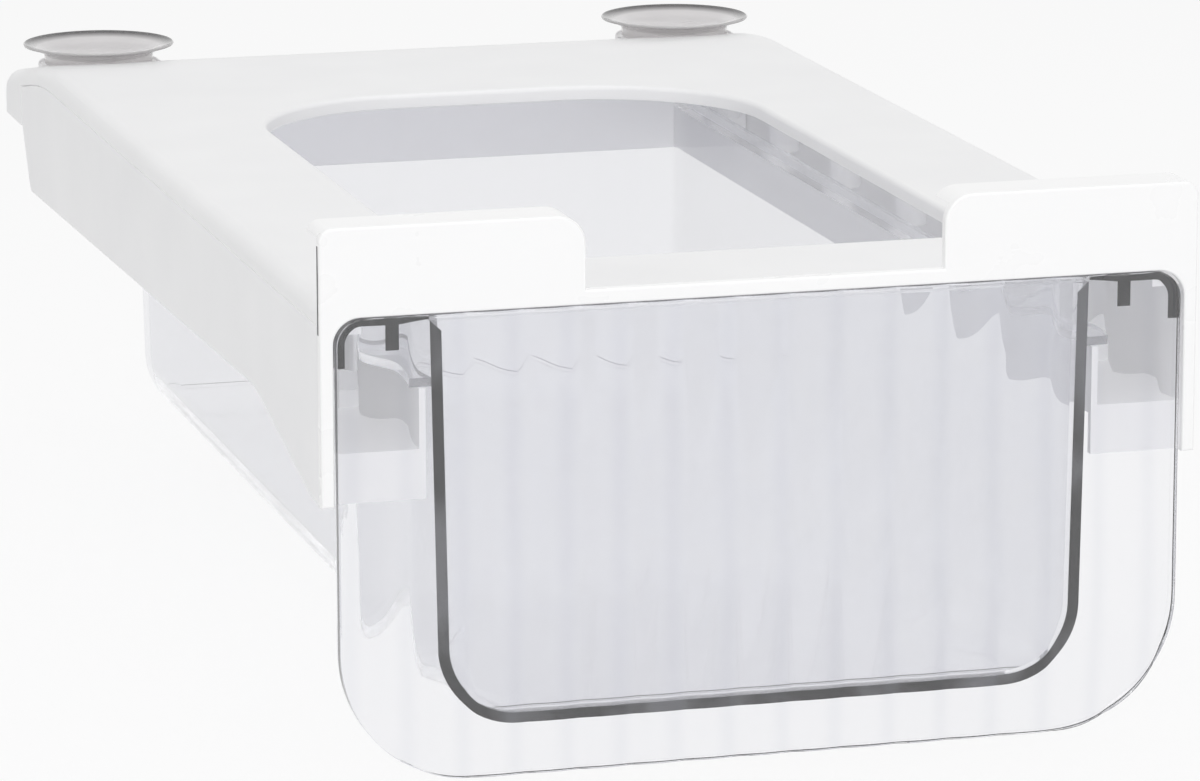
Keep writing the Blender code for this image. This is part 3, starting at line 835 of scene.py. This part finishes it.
def buildCups():
    clear = clearPlastic("softClear", cupLook)
    paintCupLipShade(clear)
    for side, name in ((-1, "left"), (1, "right")):
        node = f"suction_cup_{name}"
        shape = turned(cupProfile(), (side * cup["x"], cup["y"], 0), cup["steps"])
        addPiece(f"soft_cup_{name}", shape, "holder", clear, [node], cup["creaseAt"])


buildCups()
print("cups made")


# Clear bin

clearLook = {
    **frameLook,
    "colour": (0.912, 0.914, 0.928),
    "patchColour": (0.9, 0.902, 0.918),
    "patchScale": 14,
    "grainScale": 300,
    "smoothest": 0.005,
    "roughest": 0.02,
    "edgeAmount": 0.3,
    "edgeColour": (0.88, 0.89, 0.93),
    "markScale": 40,
    "markAmount": 0.06,
    "relief": 0.01,
    "coat": 0.3,
    "coatRough": 0.03,
    "ior": 1.06,
    "clearness": 0.86,
    "shadowTint": (0.965, 0.965, 0.975),
}
clearBin = {
    "top": -5.2,
    "bottom": -96.2,
    "wall": 2.2,
    "topHalf": 75,
    "bottomHalf": 73.5,
    "cornerRadius": 18,
    "cornerSteps": 18,
    "front": 3.5,
    "frontRadius": 2.6,
    "innerFrontRadius": 1,
    "frontSteps": 5,
    "topBack": 321.5,
    "bottomBack": 319.5,
    "backRadius": 10,
    "backSteps": 12,
    "flangeLow": -19.7,
    "flangeHigh": -17.7,
    "flangeX": 79.9,
    "lugX": 76.9,
    "lugLength": 7,
    "lugTop": -8,
    "lugSink": 1,
    "sharpMargin": 1,
    "edgeRadius": 0.3,
}
# Painted shade for the dark U where the end of the bin's clear wall meets the fluted front
wallEndShadeLook = {
    **seamShadeLook,
    "stretch": (1, 1, 0.5),
    "leakScale": 70,
    "leakSpan": (0.44, 0.6),
    "dark": (0.002, 0.002, 0.0025),
    "pale": (0.11, 0.112, 0.12),
    "smoothest": 0.45,
}
wallEndShade = {"width": 2.3, "front": 3.24, "back": 3.46}


# The bin's outside, or with a wall the space inside it, as two drawn shapes that cross
def binShape(wall, top, frontRadius):
    height = clearBin["top"] - clearBin["bottom"]
    sideDraft = (clearBin["topHalf"] - clearBin["bottomHalf"]) / height
    backDraft = (clearBin["topBack"] - clearBin["bottomBack"]) / height
    low = clearBin["bottom"] + wall
    front = clearBin["front"] + wall
    topX = clearBin["topHalf"] + (top - clearBin["top"]) * sideDraft - wall
    lowX = clearBin["bottomHalf"] + wall * sideDraft - wall
    topY = clearBin["topBack"] + (top - clearBin["top"]) * backDraft - wall
    lowY = clearBin["bottomBack"] + wall * backDraft - wall
    corner = (low, clearBin["cornerRadius"] - wall, clearBin["cornerSteps"])
    across = extruded(flatShape([
        (-topX, top), (-lowX, *corner), (lowX, *corner), (topX, top),
    ]), "Y", clearBin["front"] - overrun, clearBin["topBack"] + overrun)
    along = extruded(flatShape([
        (front, top), (front, low, frontRadius, clearBin["frontSteps"]),
        (lowY, low, clearBin["backRadius"] - wall, clearBin["backSteps"]), (topY, top),
    ]), "X", -clearBin["topHalf"] - overrun, clearBin["topHalf"] + overrun)
    return joined(across, [along], "INTERSECT")


# The flange and what it meets keep sharp edges, which show less through the clear wall
def offFlange(spot):
    low = clearBin["flangeLow"] - clearBin["sharpMargin"]
    high = clearBin["lugTop"] + clearBin["sharpMargin"]
    return abs(spot.x) < clearBin["bottomHalf"] or not low < spot.z < high


def buildBin():
    back = clearBin["bottomBack"]
    extras = []
    for side in (-1, 1):
        ends = sorted((side * clearBin["bottomHalf"], side * clearBin["flangeX"]))
        extras.append(block(
            (ends[0], clearBin["front"], clearBin["flangeLow"]),
            (ends[1], back, clearBin["flangeHigh"]),
        ))
        ends = sorted((side * clearBin["lugX"], side * clearBin["flangeX"]))
        extras.append(block(
            (ends[0], back - clearBin["lugLength"], clearBin["flangeHigh"] - clearBin["lugSink"]),
            (ends[1], back, clearBin["lugTop"]),
        ))
    outside = binShape(0, clearBin["top"], clearBin["frontRadius"])
    whole = joined(outside, extras, "UNION")
    space = binShape(clearBin["wall"], clearBin["top"] + overrun, clearBin["innerFrontRadius"])
    shape = joined(whole, [space], "DIFFERENCE")
    softened(shape, clearBin["edgeRadius"], wanted=offFlange)
    clear = clearPlastic("binClear", clearLook)
    addPiece("clear_bin", shape, "drawer", clear, ["drawer_bin"])


# Painted shade: a dark U behind the fluted front, where the end of the bin's clear wall looks dark
def buildWallEndShade():
    topHalf = clearBin["topHalf"]
    lowHalf = clearBin["bottomHalf"]
    top = clearBin["top"]
    corner = (clearBin["bottom"], clearBin["cornerRadius"], clearBin["cornerSteps"])
    shape = flatShape([(-topHalf, top), (-lowHalf, *corner), (lowHalf, *corner), (topHalf, top)])
    inner = shape.faces[:]
    bmesh.ops.inset_region(
        shape, faces=inner, thickness=wallEndShade["width"] * mm, use_even_offset=True, use_boundary=True,
    )
    upperLimit = (top - 2 * wallEndShade["width"]) * mm  # the part along the bin's open top is left out
    upper = [face for face in shape.faces if all(vert.co.y > upperLimit for vert in face.verts)]
    bmesh.ops.delete(shape, geom=inner + upper, context="FACES")
    extruded(shape, "Y", wallEndShade["front"], wallEndShade["back"])
    dark = shadeStripMaterial("wallEndShadeDark", wallEndShadeLook)
    addPiece("wall_end_shade", shape, "drawer", dark)


buildBin()
buildWallEndShade()
print("bin made")


# Fluted front

panelLook = {
    **clearLook,
    "colour": (0.935, 0.936, 0.95),
    "patchColour": (0.92, 0.921, 0.938),
    "patchScale": 20,
    "smoothest": 0.0,
    "roughest": 0.012,
    "ior": 1.55,
    "clearness": 0.98,
    "coat": 0.1,
    # Painted shade in the flutes' valleys
    "valleyShadeColour": (0.80, 0.81, 0.85),
    "valleyShadeAmount": 0.3,
    "valleyShadeSpan": (0.15, 0.75),  # of a flute's height, over which the painted valley shade fades
    "driftScale": 18,
}
panel = {
    "halfWidth": 96.2,
    "top": -3.6,
    "topRadius": 6,
    "topSteps": 10,
    "bottom": -107.5,
    "bottomRadius": 30,
    "bottomSteps": 24,
    "thickness": 3.2,
    "flutePitch": 12.2,
    "fluteCount": 17,
    "fluteSteps": 10,
    "fluteDepth": 0.8,
    "cutReach": 0.00001,
    "edgeRadius": 0.35,
    "creaseAt": 20,
}
firstFlute = -panel["flutePitch"] * panel["fluteCount"] / 2
shadeLook = {**wallEndShadeLook, "leakScale": 260, "pale": (0.02, 0.02, 0.022)}
shade = {
    "length": 21,
    "drop": 11,
    "width": 2,
    "endWidth": 1.2,
    "outerSteps": 10,
    "innerSteps": 8,
    "front": 3.24,
    "back": 3.44,
    "tabOuter": 11.2,
    "tabInner": 14,
    "tabDrop": 7.6,
}


# Painted shade: soft upright bands, darker in the valleys between the flutes
def paintFluteValleyShade(material):
    tree = material.node_tree
    place = tree.nodes.new("ShaderNodeTexCoord").outputs["Object"]
    across = feed(tree, tree.nodes.new("ShaderNodeSeparateXYZ"), {0: place})
    fromFirst = mathNode(tree, "SUBTRACT", across.outputs["X"], firstFlute * mm)
    turn = mathNode(tree, "MULTIPLY", fromFirst, math.pi / (panel["flutePitch"] * mm))
    drift = noiseNode(tree, place, panelLook["driftScale"], detail=1)
    wave = mathNode(tree, "SINE", mathNode(tree, "ADD", turn, drift))
    height = mathNode(tree, "ABSOLUTE", wave)
    share = spreadNode(tree, height, panelLook["valleyShadeSpan"], (panelLook["valleyShadeAmount"], 0))
    layColour(tree, share, panelLook["valleyShadeColour"])


def buildPanel():
    half = panel["halfWidth"]
    pitch = panel["flutePitch"]
    top = (panel["top"], panel["topRadius"], panel["topSteps"])
    bottom = (panel["bottom"], panel["bottomRadius"], panel["bottomSteps"])
    shape = extruded(flatShape([
        (-half, *top), (-half, *bottom), (half, *bottom), (half, *top),
    ]), "Y", 0, panel["thickness"])
    softened(shape, panel["edgeRadius"])
    for step in range(1, panel["fluteCount"] * panel["fluteSteps"]):
        place = (firstFlute + step * pitch / panel["fluteSteps"]) * mm
        bmesh.ops.bisect_plane(
            shape, geom=shape.verts[:] + shape.edges[:] + shape.faces[:],
            dist=panel["cutReach"] * mm, plane_co=(place, 0, 0), plane_no=(1, 0, 0),
        )
    thick = panel["thickness"] * mm
    for vert in shape.verts:  # presses the valleys into the front, and nothing into the flat back
        share = (vert.co.x / mm - firstFlute) / pitch
        valley = panel["fluteDepth"] * mm * (1 - abs(math.sin(math.pi * share)))
        vert.co.y += valley * (1 - vert.co.y / thick)
    clear = clearPlastic("panelClear", panelLook)
    paintFluteValleyShade(clear)
    addPiece(
        "fluted_front", shape, "drawer", clear, ["drawer_front"],
        panel["creaseAt"], weighted=False,
    )


# Where the front's top corners trap the light: a dark edge on the back of the panel
def buildCornerShades():
    half = panel["halfWidth"]
    top = panel["top"]
    radius = panel["topRadius"]
    wide = shade["width"]
    low = top - shade["drop"]
    under = top - wide
    tabLow = top - shade["tabDrop"]
    dark = shadeStripMaterial("shadeDark", shadeLook)
    for side, name in ((-1, "left"), (1, "right")):
        shape = flatShape([
            (half - shade["length"], top), (half, top, radius, shade["outerSteps"]), (half, low),
            (half - wide, low), (half - wide, under, radius - wide, shade["innerSteps"]),
            (half - shade["tabOuter"], under), (half - shade["tabOuter"], tabLow),
            (half - shade["tabInner"], tabLow), (half - shade["tabInner"], under),
            (half - shade["length"], top - shade["endWidth"]),
        ])
        extruded(shape, "Y", shade["front"], shade["back"])
        if side < 0:
            mirror(shape)
        addPiece(f"corner_shade_{name}", shape, "drawer", dark)


buildPanel()
buildCornerShades()
print("fluted front made")
